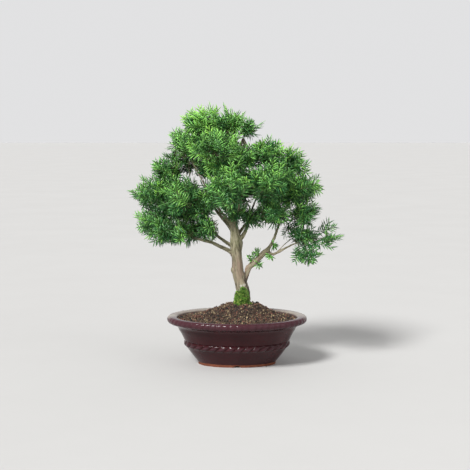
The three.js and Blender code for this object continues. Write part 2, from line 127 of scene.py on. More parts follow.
# ---------- materials ----------
class Nodes:
    """A node tree that is being made: each method adds a node and gives what it puts out."""

    def __init__(self, tree):
        self.tree = tree
        self.coordinates = self.add("ShaderNodeTexCoord")

    def plug(self, node, inputs):
        """Joins other nodes' sockets to a node's inputs, and sets the inputs that are given a value."""
        for name, value in inputs.items():
            if isinstance(value, bpy.types.NodeSocket):
                self.tree.links.new(value, node.inputs[name])
            else:
                node.inputs[name].default_value = value

    def add(self, kind, inputs=None, **settings):
        node = self.tree.nodes.new(kind)
        for name, value in settings.items():
            setattr(node, name, value)
        self.plug(node, inputs or {})
        return node.outputs

    def noted(self, name, output="Fac"):
        """What note() keeps on a mesh."""
        return self.add("ShaderNodeAttribute", attribute_name=name)[output]

    def axes(self, vector):
        """The X, Y and Z of a vector."""
        return self.add("ShaderNodeSeparateXYZ", {"Vector": vector})

    def mottle(self, scale, detail=4, roughness=0.55, place=None):
        """Noise over the object, or over another place that is given."""
        place = place or self.coordinates["Object"]
        inputs = {"Vector": place, "Scale": scale, "Detail": detail, "Roughness": roughness}
        return self.add("ShaderNodeTexNoise", inputs)["Fac"]

    def ramp(self, value, low, high, out_low=0.0, out_high=1.0):
        """A value taken from one range to another, and held at its ends."""
        inputs = {"Value": value, "From Min": low, "From Max": high, "To Min": out_low, "To Max": out_high}
        return self.add("ShaderNodeMapRange", inputs)["Result"]

    def mix(self, factor, first, second):
        """The first colour where the factor is 0, and the second where it is 1."""
        first, second = (c if isinstance(c, bpy.types.NodeSocket) else (*c, 1) for c in (first, second))
        return self.add("ShaderNodeMix", {0: factor, 6: first, 7: second}, data_type="RGBA")[2]

    def maths(self, operation, first, second):
        return self.add("ShaderNodeMath", {0: first, 1: second}, operation=operation)[0]

    def times(self, first, second):
        return self.maths("MULTIPLY", first, second)

    def finish(self, colour, roughness, relief, depth, strength=1.0, **others):
        """Joins a colour, a roughness and a relief to the shader, and sets its other inputs."""
        bump = self.add("ShaderNodeBump", {"Height": relief, "Distance": depth, "Strength": strength})
        inputs = {"Base Color": colour, "Roughness": roughness, "Normal": bump["Normal"], **others}
        self.plug(self.tree.nodes["Principled BSDF"], inputs)


def start_material(name):
    material = bpy.data.materials.new(name)
    material.use_nodes = True
    return material, Nodes(material.node_tree)


def tint(rgb, share):
    """A colour made darker."""
    return [share * c for c in rgb]


# how much is left of the bark's red, green and blue where it is olive: a green tint and painted shade under
# the crown
OLIVE_AND_SHADE = (0.72, 0.82, 0.58)


def glaze_material(pot):
    """Dark glaze, thin over edges, with painted sheen on the top of the rim and a painted reflection of the
    bright room on its ends and back, and the bare clay of the foot.
    """
    material, nodes = start_material("aubergine_glaze")
    cloud, speck = nodes.mottle(24), nodes.mottle(240, 2)
    glaze = nodes.mix(nodes.ramp(cloud, 0.35, 0.7), pot.glaze, tint(pot.glaze, 0.7))
    # thin glaze over edges, and painted sheen on the top of the rim
    thin = nodes.times(nodes.noted("thin"), nodes.ramp(speck, 0.3, 0.6, 0.5, 1.0))
    glaze = nodes.mix(thin, glaze, pot.glaze_thin_and_sheen)
    # painted reflection on the ends and the back of the rim's top
    painted_reflection = nodes.times(nodes.noted("painted_reflection"), nodes.ramp(cloud, 0.25, 0.6, 0.4, 1.0))
    glaze = nodes.mix(painted_reflection, glaze, pot.painted_reflection)
    clay = nodes.mix(nodes.ramp(nodes.mottle(90), 0.3, 0.7), pot.clay, tint(pot.clay, 0.62))
    clay = nodes.mix(nodes.ramp(nodes.mottle(900, 2), 0.55, 0.7), clay, tint(pot.clay, 0.45))
    wander = nodes.times(nodes.ramp(nodes.mottle(60, 2), 0.3, 0.7, -1.0, 1.0), 0.6 * MM)
    line = nodes.maths("ADD", nodes.axes(nodes.coordinates["Object"])["Z"], wander)
    under = nodes.ramp(line, pot.foot_height - 0.2 * MM, pot.foot_height + 0.3 * MM, 1.0, 0.0)
    raw = nodes.maths("MAXIMUM", under, nodes.noted("bare"))
    gloss = nodes.ramp(nodes.mottle(55, 3), 0.3, 0.7, 0.12, 0.26)
    roughness = nodes.maths("ADD", gloss, nodes.times(raw, 0.66))
    relief = nodes.maths("ADD", nodes.mottle(110, 3), nodes.times(speck, raw))
    colour = nodes.mix(raw, glaze, clay)
    nodes.finish(colour, roughness, relief, 0.35 * MM, 0.5, **{"Specular IOR Level": 0.2})
    return material


def bark_material(wood, name, share=1.0):
    """Streaks that run along each limb, olive and darker high up (a green tint with painted shade under the
    crown), red flakes low down, lichen over the moss and painted shade in the hollows.
    """
    material, nodes = start_material(name)
    grain = {"Vector": nodes.noted("grain", "Vector"), "Scale": (1, 1, 0.16)}
    along = nodes.add("ShaderNodeMapping", grain)["Vector"]
    streak, flake = nodes.mottle(330, 5, 0.6, along), nodes.mottle(120, 3, place=along)
    broad = nodes.mottle(38, 3)
    across, _, height = nodes.axes(nodes.coordinates["Object"])
    tones = (wood.bark, wood.bark_pale, wood.bark_dark_and_shade, wood.bark_red)
    bark, pale, dark, red = (tint(tone, share) for tone in tones)
    # high up, under the crown: a green tint and painted shade
    olive_and_shade = nodes.ramp(nodes.maths("ADD", height, nodes.times(broad, 0.06)), 0.235, 0.275, 0.0, 0.9)
    base = nodes.mix(olive_and_shade, bark, [c * part for c, part in zip(bark, OLIVE_AND_SHADE)])
    base = nodes.mix(nodes.ramp(streak, 0.42, 0.66), base, pale)
    base = nodes.mix(nodes.ramp(streak, 0.46, 0.34), base, dark)
    worn = nodes.times(nodes.ramp(height, 0.238, 0.205), nodes.ramp(height, 0.150, 0.170))
    base = nodes.mix(nodes.times(worn, nodes.ramp(flake, 0.40, 0.58, 0.0, 0.75)), base, red)
    base = nodes.mix(nodes.ramp(broad, 0.50, 0.72, 0.0, 0.5), base, tint(bark, 0.55))
    band = nodes.times(nodes.ramp(height, 0.149, 0.153), nodes.ramp(height, 0.164, 0.159))
    band = nodes.times(band, nodes.ramp(across, 0.001, 0.007))
    lichen = nodes.times(band, nodes.ramp(nodes.mottle(190, 2), 0.50, 0.58, 0.0, 0.85))
    base = nodes.mix(lichen, base, wood.lichen)
    # painted shade in the flute hollows and in the fold under the low right limb
    base = nodes.mix(nodes.times(nodes.noted("hollow_shade"), 0.92), base, tint(dark, 0.7))
    relief = nodes.maths("ADD", streak, flake)
    nodes.finish(base, nodes.ramp(streak, 0.3, 0.7, 0.9, 0.68), relief, 0.9 * MM, 0.9)
    return material


def soil_material():
    """Pitted grains, each in the colour that is noted on it."""
    material, nodes = start_material("soil_grains")
    pits = nodes.mottle(900, 4, 0.7)
    shade = {0: nodes.noted("grain_colour", "Color"), "Scale": nodes.ramp(pits, 0.3, 0.7, 0.55, 1.25)}
    toned = nodes.add("ShaderNodeVectorMath", shade, operation="SCALE")["Vector"]
    nodes.finish(toned, nodes.ramp(pits, 0.3, 0.7, 0.95, 0.8), pits, 0.6 * MM)
    return material


def needle_material(foliage):
    """Green that goes from old to young, with dark and light needles by chance, and browner stems. Painted
    shade pulls needles deep in a pad toward old and dark, and painted light pulls the top of the crown toward
    young.
    """
    material, nodes = start_material("yew_needles")
    youth_and_light, chance_and_shade, stem = nodes.add("ShaderNodeSeparateColor", {0: nodes.noted("growth", "Color")})
    base = nodes.mix(nodes.ramp(youth_and_light, 0.0, 0.5), foliage.old_and_shaded, foliage.grown)
    base = nodes.mix(nodes.ramp(youth_and_light, 0.5, 1.0), base, foliage.young_and_lit)
    # dark needles by chance, and as painted shade deep in the pads
    base = nodes.mix(nodes.ramp(chance_and_shade, 0.45, 0.0, 0.0, 0.85), base, tint(foliage.old_and_shaded, 0.4))
    base = nodes.mix(nodes.ramp(chance_and_shade, 0.8, 1.0, 0.0, 0.5), base, foliage.young_and_lit)
    base = nodes.mix(nodes.ramp(nodes.mottle(700, 2), 0.5, 0.75, 0.0, 0.2), base, foliage.young_and_lit)
    base = nodes.mix(nodes.times(stem, 0.75), base, foliage.stem)
    nodes.finish(base, nodes.ramp(chance_and_shade, 0.0, 1.0, 0.28, 0.46), nodes.mottle(1500, 2), 0.1 * MM, 0.4)
    return material


def moss_material(foliage):
    """Moss from dark to bright, and yellow where it has dried."""
    material, nodes = start_material("moss_shoots")
    bright, dry, _ = nodes.add("ShaderNodeSeparateColor", {0: nodes.noted("growth", "Color")})
    base = nodes.mix(bright, tint(foliage.moss, 0.16), foliage.moss)
    base = nodes.mix(nodes.ramp(dry, 0.5, 0.9, 0.0, 0.75), base, foliage.moss_dry)
    nodes.finish(base, 0.8, nodes.mottle(1400, 3), 0.5 * MM)
    return material


def plain_material(name, tone, dark, roughness, scale, metallic=0.0, depth=0.2 * MM):
    """A finish with fine variation in colour, gloss and height, for the floor and the small hidden pieces."""
    material, nodes = start_material(name)
    fine = nodes.mottle(scale)
    colour = nodes.mix(nodes.ramp(fine, 0.3, 0.7), tone, dark)
    gloss = nodes.ramp(fine, 0.3, 0.7, roughness - 0.08, roughness + 0.08)
    nodes.finish(colour, gloss, fine, depth, 0.7, Metallic=metallic)
    return material


# ---------- mesh helpers ----------
def deselect():
    if bpy.context.mode != "OBJECT":
        bpy.ops.object.mode_set(mode="OBJECT")
    bpy.ops.object.select_all(action="DESELECT")


def make_active(piece):
    deselect()
    piece.select_set(True)
    bpy.context.view_layer.objects.active = piece


def stand(name, data, material=None):
    """An object for a mesh, a curve, a lamp or a camera, in the scene."""
    if material:
        data.materials.append(material)
    piece = bpy.data.objects.new(name, data)
    bpy.context.scene.collection.objects.link(piece)
    return piece


def context_object():
    return bpy.context.view_layer.objects.active


def edit_all():
    """Starts work on all of the active piece's mesh."""
    bpy.ops.object.mode_set(mode="EDIT")
    bpy.ops.mesh.select_all(action="SELECT")


def give(piece, material):
    """One material for the whole of a piece."""
    piece.data.materials.clear()
    piece.data.materials.append(material)


def take_shape(piece):
    """The points and faces of a piece that was only made as a pattern, and is removed."""
    shape = places(piece.data), np.array([list(p.vertices) for p in piece.data.polygons])
    bpy.data.objects.remove(piece)
    return shape


def places(mesh):
    """The places of a mesh's vertices, one row each."""
    co = np.empty(len(mesh.vertices) * 3)
    mesh.vertices.foreach_get("co", co)
    return co.reshape(-1, 3)


def move_points(mesh, points):
    mesh.vertices.foreach_set("co", points.ravel())
    mesh.update()


def note(mesh, name, values):
    """Keeps a number, a vector or a colour for each vertex, for a material to read."""
    values = np.asarray(values, float)
    kinds = {1: ("FLOAT", "value"), 3: ("FLOAT_VECTOR", "vector"), 4: ("FLOAT_COLOR", "color")}
    kind, key = kinds[values.size // len(values)]
    mesh.attributes.new(name, kind, "POINT").data.foreach_set(key, values.ravel())


def merged_copy(node, name):
    """A copy of a CAD node with its loose triangles joined."""
    piece = NODES[node].copy()
    piece.data = NODES[node].data.copy()
    piece.name = name
    piece.parent = None
    for key in list(piece.keys()):
        del piece[key]
    piece.hide_render = piece.hide_viewport = False
    bpy.context.scene.collection.objects.link(piece)
    make_active(piece)
    edit_all()
    bpy.ops.mesh.remove_doubles(threshold=0.01 * MM)
    bpy.ops.object.mode_set(mode="OBJECT")
    piece.data.materials.clear()
    return piece


def join(pieces, name):
    """The pieces as one, under a new name."""
    deselect()
    for piece in pieces:
        piece.select_set(True)
    bpy.context.view_layer.objects.active = pieces[0]
    if len(pieces) > 1:
        bpy.ops.object.join()
    pieces[0].name = pieces[0].data.name = name
    return pieces[0]


def apply_modifier(piece, kind, **values):
    """Adds a modifier with its settings, and applies it."""
    make_active(piece)
    modifier = piece.modifiers.new(kind.lower(), kind)
    for name, value in values.items():
        setattr(modifier, name, value)
    bpy.ops.object.modifier_apply(modifier=modifier.name)


def shade(piece, angle=None):
    """Smooth shading, all over or over edges blunter than an angle."""
    make_active(piece)
    if angle is None:
        bpy.ops.object.shade_smooth()
    else:
        bpy.ops.object.shade_smooth_by_angle(angle=angle)


def hand_over(piece, slot, *nodes):
    """Puts a finished piece under the root body's empty and hides the CAD nodes that it replaces; slot, its
    material slot, is not used.
    """
    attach(piece, "root")
    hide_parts(*nodes)


def copies(shape_points, shape_faces, origins, axes):
    """Many copies of one shape: axes has, for each copy, the three vectors that its X, Y and Z become."""
    points = np.einsum("vk,nkj->nvj", shape_points, axes) + origins[:, None, :]
    step = len(shape_points)
    faces = (np.asarray(shape_faces)[None] + step * np.arange(len(origins))[:, None, None]).reshape(-1, 3)
    return points.reshape(-1, 3), faces


def triangle_mesh(name, points, faces, material):
    """A mesh straight from arrays of points and triangles."""
    mesh = bpy.data.meshes.new(name)
    mesh.vertices.add(len(points))
    mesh.vertices.foreach_set("co", np.ascontiguousarray(points, float).ravel())
    mesh.loops.add(3 * len(faces))
    mesh.loops.foreach_set("vertex_index", np.ascontiguousarray(faces, np.int32).ravel())
    mesh.polygons.add(len(faces))
    mesh.polygons.foreach_set("loop_start", 3 * np.arange(len(faces), dtype=np.int32))
    mesh.update(calc_edges=True)
    return stand(name, mesh, material)


def unit(vectors):
    """Vectors in the same direction, each one long."""
    return vectors / np.maximum(np.linalg.norm(vectors, axis=-1, keepdims=True), 1e-12)


# ---------- pot ----------
# Places in from the rim: the foot, the flat of the floor, the belly, the neck and the edge of the rim's top.
FOOT_IN, FLAT_IN, BELLY_IN, NECK_IN, TOP_IN = 62 * MM, 71 * MM, 37 * MM, 20 * MM, 24 * MM
WALL, UNDERSIDE, FLOOR_TOP = 7 * MM, 5 * MM, 12 * MM
HOLE_OUT, HOLE_RADIUS, ARCH_RADIUS = 38 * MM, 8 * MM, 4 * MM


def pot_profile(rim, top, pot):
    """Half the pot's section, as (half length, height), from under its middle round to its inside floor."""
    foot, belly, neck = rim - FOOT_IN, rim - BELLY_IN, rim - NECK_IN
    low, high = pot.band_height - pot.band_half, pot.band_height + pot.band_half
    line = [(0, UNDERSIDE), (foot - 9 * MM, UNDERSIDE), (foot - 9 * MM, 0.6 * MM), (foot - 8.4 * MM, 0)]
    line += [(foot - 1 * MM, 0), (foot - 0.2 * MM, 0.8 * MM), (foot, 4.6 * MM), (foot + 0.9 * MM, 5.6 * MM)]
    # the wall up to the rope band, the band's own heights, and the flare over it
    start, end = foot + 1.4 * MM, belly - 2 * MM
    line += [(start + (end - start) * t**0.94, 6.4 * MM + (low - 6.8 * MM) * t) for t in np.linspace(0, 1, 7)]
    line += [(belly - 1.6 * MM + 3.2 * MM * t, low + (high - low) * t) for t in np.linspace(0, 1, 15)]
    start, rise = belly + 2.2 * MM, top - 22.5 * MM - high
    for t in np.linspace(0, 0.8, 7):
        line.append((start + (neck - start) * (0.72 * t + 0.28 * t**2), high + 0.5 * MM + rise * t))
    # the cove under the rim, the rim's roll and the way down its inside
    cove = (line[-1], (neck + 0.5 * MM, top - 15.5 * MM), (rim - 4.6 * MM, top - 13.0 * MM))
    for t in np.linspace(0, 1, 9)[1:]:
        line.append([a * (1 - t) ** 2 + 2 * b * t * (1 - t) + c * t * t for a, b, c in zip(*cove)])
    for t in np.linspace(0, 1, 9):
        turn = math.radians(-62 + 150 * t)
        line.append((rim - 5.2 * MM + 5.2 * MM * math.cos(turn), top - 6.4 * MM + 6.4 * MM * math.sin(turn)))
    lip = ((8, 0.5), (4, 1), (1.6, 1.8), (0.3, 3.4))
    line += [(neck + out * MM, top - down * MM) for out, down in lip]
    line += [(neck - 0.8 * MM, top - 7 * MM), (neck - WALL, top - 22 * MM)]
    line += [(belly - WALL, high), (belly - WALL - 2 * MM, low), (foot - 4.2 * MM, FLOOR_TOP + 2 * MM)]
    return line + [(foot - 9 * MM, FLOOR_TOP), (0, FLOOR_TOP)]


def oval_points(points, step, flat):
    """Round rings made oval: less wide than long by step, or in proportion where they are within flat."""
    r = np.hypot(points[:, 0], points[:, 1])
    half = np.where(r > flat, r - step, r * (flat - step) / flat)
    out = points.copy()
    out[:, 1] *= np.where(r > 0, half / np.maximum(r, 1e-9), 1)
    return out


def arc_length(angles, a, b):
    """How far round an oval of half axes a and b each angle is, and the whole way round."""
    fine = np.linspace(-math.pi, math.pi, 4001)
    speed = np.hypot(a * np.sin(fine), b * np.cos(fine))
    run = np.concatenate([[0], np.cumsum((speed[1:] + speed[:-1]) / 2 * np.diff(fine))])
    return np.interp(angles, fine, run), run[-1]


def strands(angle, rim, step, pitch, lean):
    """The height, from 0 to 1, of a row of round strands round an oval, with sharp hollows between them."""
    where, whole = arc_length(angle, rim, rim - step)
    t = ((where / whole * round(whole / pitch) - lean) % 1) * 2 - 1
    return np.sqrt(np.maximum(0, 1 - t * t))


class BONSAI_OT_pot(bpy.types.Operator):
    """The oval glazed pot, with its rolled rim, rope band, bare foot, drain holes and foot arches"""

    bl_idname = "bonsai.pot"
    bl_label = "Pot"

    SEGMENTS = 720

    def execute(self, context):
        pot = context.scene.bonsai_pot
        _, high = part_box("pot")
        rim, top, step = high.x, high.z, high.x - high.y
        points = [(r, 0, z) for r, z in pot_profile(rim, top, pot)]
        outline = bpy.data.meshes.new("pot_body")
        outline.from_pydata(points, [(k, k + 1) for k in range(len(points) - 1)], [])
        body = stand("pot_body", outline)
        make_active(body)
        edit_all()
        bpy.ops.mesh.spin(steps=self.SEGMENTS, angle=math.tau, center=(0, 0, 0), axis=(0, 0, 1))
        bpy.ops.mesh.select_all(action="SELECT")
        bpy.ops.mesh.remove_doubles(threshold=0.02 * MM)
        bpy.ops.mesh.normals_make_consistent(inside=False)
        bpy.ops.object.mode_set(mode="OBJECT")
        self.relief(body.data, pot, rim, top, step)
        self.cut(body)
        give(body, glaze_material(pot))
        shade(body, math.radians(50))
        body.name = "oval_pot"
        hand_over(body, "glaze", "pot")
        return {"FINISHED"}

    def relief(self, mesh, pot, rim, top, step):
        """Raises the rope band and the bumps of the edge, and notes where the glaze is thin or missing, where
        painted sheen lies on the top of the rim and where the painted reflection lies on its ends and back.
        """
        points = places(mesh)
        r = np.hypot(points[:, 0], points[:, 1])
        z = points[:, 2]
        angle = np.arctan2(points[:, 1], points[:, 0])
        belly = rim - BELLY_IN
        across = (z - pot.band_height) / pot.band_half
        on_band = (np.abs(across) <= 1.001) & (r > belly - 3 * MM)
        rope = strands(angle, belly, step, pot.strand_pitch, 0.5 * across)
        dome = np.sqrt(np.maximum(0, 1 - across**2))
        raised = np.where(on_band, dome**1.4 * (0.12 + 0.88 * rope), 0)
        on_edge = (r > rim - 5.5 * MM) & (z > top - 13 * MM)
        weight = np.clip((r - (rim - 5.5 * MM)) / (4 * MM), 0, 1) * on_edge
        bumps = strands(angle, rim, step, pot.edge_pitch, 30 * (z - top))
        sunk = weight * (1 - bumps)
        new_r = r + raised * pot.band_relief - sunk * pot.edge_relief
        points[:, :2] *= (new_r / np.maximum(r, 1e-9))[:, None]
        points[:, 2] -= sunk * 0.45 * pot.edge_relief
        move_points(mesh, oval_points(points, step, rim - FLAT_IN))
        on_top = r > rim - TOP_IN
        crest = np.where(on_band, np.clip((raised - 0.72) / 0.28, 0, 1), 0) * 0.5
        # painted sheen on the top of the rim, noted with the thin glaze
        lip = np.clip((z - (top - 3 * MM)) / (3 * MM), 0, 1) * on_top * 0.55
        note(mesh, "thin", np.maximum(np.maximum(crest, lip), weight * (0.15 + 0.25 * bumps)))
        # the ends and the back of the rim's top, where the painted reflection lies
        ends = np.clip((np.abs(points[:, 0]) - 0.60 * rim + points[:, 1]) / (0.35 * rim), 0, 1)
        note(mesh, "painted_reflection", ends * np.clip((z - (top - 4 * MM)) / (2 * MM), 0, 1) * on_top * 0.9)
        inside = (z > 11 * MM) & (z < top - 9 * MM) & (r < rim - 26 * MM) & ~on_band & (r < belly - 5 * MM)
        below = (z < 5.1 * MM) & (r < rim - 62.5 * MM)
        note(mesh, "bare", np.where(inside & (r < self.wall_line(z, rim, top)) | below, 1.0, 0.0))

    def wall_line(self, z, rim, top):
        """A line down the middle of the wall, from which the inside is told from the outside."""
        heights = [0, FLOOR_TOP, 40 * MM, 52 * MM, top - 22 * MM, top]
        radii = [rim - inset * MM for inset in (66, 62, 41, 41, 23.5, 20)]
        return np.interp(z, heights, radii)

    def cut(self, body):
        """Cuts the two drain holes and the arch through the foot, front and back."""
        along_y = (math.radians(90), 0, 0)
        shapes = [(HOLE_RADIUS, 30 * MM, (side * HOLE_OUT, 0, 9 * MM), (0, 0, 0)) for side in (-1, 1)]
        shapes.append((ARCH_RADIUS, 0.3, (0, 0, 0), along_y))
        cutters = []
        for radius, depth, place, turn in shapes:
            deselect()
            cylinder = {"vertices": 48, "radius": radius, "depth": depth, "location": place, "rotation": turn}
            bpy.ops.mesh.primitive_cylinder_add(**cylinder)
            cutters.append(context_object())
        bpy.ops.transform.resize(value=(1.8, 1, 1))
        cutter = join(cutters, "pot_cutter")
        bpy.ops.object.transform_apply(location=True, rotation=True, scale=True)
        apply_modifier(body, "BOOLEAN", object=cutter, operation="DIFFERENCE", solver="EXACT")
        bpy.data.objects.remove(cutter)


# ---------- drain pieces ----------
class BONSAI_OT_drain(bpy.types.Operator):
    """Finishes for the screens, their wire clips and the gravel in the bottom of the pot"""

    bl_idname = "bonsai.drain"
    bl_label = "Drain screens and gravel"

    # the start of a node's name, and its finish: light and dark colour, roughness, scale, metal and depth
    FINISHES = {
        "drain_screen": ("screen_plastic", (0.02, 0.024, 0.02), (0.01, 0.012, 0.01), 0.5, 400),
        "screen_clip": ("clip_wire", (0.55, 0.53, 0.5), (0.42, 0.4, 0.37), 0.35, 600, 1.0, 0.05 * MM),
        "drainage_gravel": ("gravel", (0.34, 0.27, 0.18), (0.17, 0.13, 0.09), 0.9, 160, 0, 2 * MM),
    }

    def execute(self, context):
        for start, finish in self.FINISHES.items():
            material = plain_material(*finish)
            for name, piece in NODES.items():
                if name.startswith(start):
                    give(piece, material)
        return {"FINISHED"}


# ---------- soil ----------
def random_turns(count, dice):
    """Rotation matrices spread evenly over all turns."""
    q = unit(dice.normal(size=(count, 4)))
    w, x, y, z = q.T
    rows = [
        [1 - 2 * (y * y + z * z), 2 * (x * y - w * z), 2 * (x * z + w * y)],
        [2 * (x * y + w * z), 1 - 2 * (x * x + z * z), 2 * (y * z - w * x)],
        [2 * (x * z - w * y), 2 * (y * z + w * x), 1 - 2 * (x * x + y * y)],
    ]
    return np.moveaxis(np.array(rows), 2, 0)


class BONSAI_OT_soil(bpy.types.Operator):
    """The mound of soil under a layer of loose angular grains"""

    bl_idname = "bonsai.soil"
    bl_label = "Soil"

    KINDS = 4
    ROW = 0.866  # between two rows of grains, in grain spacings
    UPPER_SHARE = 0.3  # of the places in the upper layer that have a grain
    WALL_FOOT = 55 * MM  # grains lie on the soil's open top, which is higher than this above its bottom
    # how many grains of each colour: brown, red, pale, dark and a darker brown
    SHARES = (0.36, 0.14, 0.13, 0.12, 0.25)

    def grain_shapes(self):
        """A few angular grains, each an icosphere knocked out of round."""
        shapes = []
        for kind in range(self.KINDS):
            deselect()
            bpy.ops.mesh.primitive_ico_sphere_add(subdivisions=1, radius=0.5, location=(0, 0, 0))
            edit_all()
            bpy.ops.transform.vertex_random(offset=0.16, uniform=0.0, normal=0.0, seed=kind + 3)
            bpy.ops.transform.resize(value=(1.0, 0.82, 0.66 + 0.06 * kind))
            bpy.ops.object.mode_set(mode="OBJECT")
            shapes.append(take_shape(context_object()))
        return shapes

    def scatter(self, soil, tree, dice):
        """Places and sizes for two layers of grains, the upper one sparse, on a shaken grid of triangles."""
        low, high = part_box("soil")
        rows = int((high.y - low.y) / (self.ROW * soil.spacing)) + 1
        columns = int((high.x - low.x) / soil.spacing) + 1
        spots = []
        for layer, row, column in itertools.product(range(2), range(rows), range(columns)):
            jitter = dice.uniform(-0.5, 0.5, 2) * soil.spacing
            x = low.x + (column + 0.5 * (row % 2)) * soil.spacing + jitter[0]
            y = low.y + row * self.ROW * soil.spacing + jitter[1]
            size = soil.grain * np.clip(dice.lognormal(-0.12, 0.34), 0.4, 1.5)
            keep = dice.uniform() < (1.0, self.UPPER_SHARE)[layer]
            hit = tree.ray_cast(Vector((x, y, 0.2)), Vector((0, 0, -1)))[0]
            if keep and hit is not None and hit.z > low.z + self.WALL_FOOT:
                spots.append((x, y, hit.z + (0.1 + 0.5 * layer) * size, size))
        return np.array(spots)

    def execute(self, context):
        soil = context.scene.bonsai_soil
        dice = np.random.default_rng(5)
        bed = merged_copy("soil", "soil_bed")
        tree = bvhtree.BVHTree.FromPolygons(
            [v.co.copy() for v in bed.data.vertices], [list(p.vertices) for p in bed.data.polygons]
        )
        spots = self.scatter(soil, tree, dice)
        turns = random_turns(len(spots), dice)
        kinds = dice.integers(0, self.KINDS, len(spots))
        palette = np.array([soil.brown, soil.red, soil.pale, soil.dark, tint(soil.brown, 0.6)])
        tone = palette[dice.choice(len(palette), len(spots), p=self.SHARES)]
        tone = np.clip(tone * dice.uniform(0.6, 1.45, (len(spots), 1)), 0, 1)
        all_points, all_faces, all_tones, count = [], [], [], 0
        for kind, (shape, faces) in enumerate(self.grain_shapes()):
            mine = kinds == kind
            axes = turns[mine] * spots[mine, 3][:, None, None]
            points, cells = copies(shape, faces, spots[mine, :3], axes)
            all_points.append(points)
            all_faces.append(cells + count)
            all_tones.append(np.repeat(tone[mine], len(shape), axis=0))
            count += len(points)
        material = soil_material()
        grains = triangle_mesh("soil_grains", np.concatenate(all_points), np.concatenate(all_faces), material)
        tones = np.concatenate(all_tones)
        note(grains.data, "grain_colour", np.hstack([tones, np.ones((len(tones), 1))]))
        bed.data.materials.append(material)
        note(bed.data, "grain_colour", np.tile([*tint(soil.brown, 0.5), 1], (len(bed.data.vertices), 1)))
        hand_over(join([grains, bed], "soil_mound"), "soil", "soil")
        return {"FINISHED"}


# ---------- bark ----------
def limb_axes():
    """For each piece of wood, its middle and three axes, the last of them along the limb."""
    frames = {}
    for name in WOOD:
        points = places(NODES[name].data)
        middle = points.mean(0)
        _, _, rows = np.linalg.svd(points - middle, full_matrices=False)
        frames[name] = (middle, rows[::-1])
    return frames


class BONSAI_OT_wood(bpy.types.Operator):
    """The trunk, its leader and the limbs, grown into one piece with fluted bark"""

    bl_idname = "bonsai.wood"
    bl_label = "Trunk and limbs"

    # how far the bark moves out at the foot and the middle of the trunk: heights, and the distance at each
    FOOT = ((0.125, 0.15, 0.2), (-1.0 * MM, -0.4 * MM, 0))
    STOUT = ((0.172, 0.20, 0.243, 0.265, 0.285), (0, 1.6 * MM, 2.2 * MM, 0.9 * MM, 0))
    # the fold where the low right limb leaves the trunk: across and up, from its top down
    FOLD = ((0.0135, 0.192), (0.015, 0.182), (0.017, 0.168), (0.0215, 0.155), (0.025, 0.147), (0.028, 0.136))

    def execute(self, context):
        wood = context.scene.bonsai_wood
        parts = []
        for name in WOOD:
            part = merged_copy(name, "wood_" + name)
            edit_all()
            # a little thinner, which leaves room for the bark
            bpy.ops.transform.shrink_fatten(value=-0.7 * MM if name == "trunk" else -0.2 * MM)
            bpy.ops.object.mode_set(mode="OBJECT")
            parts.append(part)
        piece = join(parts, "trunk_and_limbs")
        apply_modifier(piece, "REMESH", mode="VOXEL", voxel_size=wood.voxel)
        apply_modifier(piece, "SMOOTH", factor=0.5, iterations=9)
        self.shape_bark(piece.data, wood)
        give(piece, bark_material(wood, "yew_bark"))
        shade(piece)
        hand_over(piece, "bark", *WOOD)
        return {"FINISHED"}

    def shape_bark(self, mesh, wood):
        """Flutes the bark along each limb, and notes each point's place along its limb, and its hollows and
        the fold, which get painted shade.
        """
        frames = limb_axes()
        finder = kdtree.KDTree(sum(len(NODES[name].data.vertices) for name in WOOD))
        owners = []
        for name in WOOD:
            for vertex in NODES[name].data.vertices:
                finder.insert(vertex.co, len(owners))
                owners.append(name)
        finder.balance()
        points = places(mesh)
        normals = np.array([v.normal for v in mesh.vertices])
        grain = np.empty_like(points)
        for index, point in enumerate(points):
            middle, axes = frames[owners[finder.find(point)[1]]]
            grain[index] = axes @ (point - middle)
        depth = np.empty(len(points))
        for index, spot in enumerate(grain):
            long = Vector((spot[0] * 150, spot[1] * 150, spot[2] * 22))
            fine = Vector((spot[0] * 420, spot[1] * 420, spot[2] * 90))
            depth[index] = noise.noise(long) + 0.35 * noise.noise(fine)
        thick = np.clip((0.36 - points[:, 2]) / 0.16, 0.25, 1)
        crease = self.crease(points)
        foot = np.interp(points[:, 2], *self.FOOT)
        stout = np.interp(points[:, 2], *self.STOUT) * (np.abs(points[:, 0] - 0.004) < 0.016)
        push = depth * thick * wood.fluting + foot + stout - 1.2 * MM * crease
        move_points(mesh, points + normals * push[:, None])
        note(mesh, "grain", grain)
        # where painted shade goes: the deepest flute hollows and the fold
        note(mesh, "hollow_shade", np.clip(np.clip(-0.25 - depth, 0, 1) * 1.4 + crease, 0, 1))

    def crease(self, points):
        """1 in the fold where the low right limb leaves the trunk, which is sunk in and darkened with painted
        shade, and 0 away from it.
        """
        route = np.array(self.FOLD)
        flat = points[:, [0, 2]]
        nearest = np.full(len(points), 1.0)
        for start, end in zip(route, route[1:]):
            step = end - start
            share = np.clip((flat - start) @ step / step.dot(step), 0, 1)
            nearest = np.minimum(nearest, np.linalg.norm(flat - start - share[:, None] * step, axis=1))
        return np.clip(1.25 - nearest / (2.0 * MM), 0, 1) * (points[:, 1] < 2 * MM)


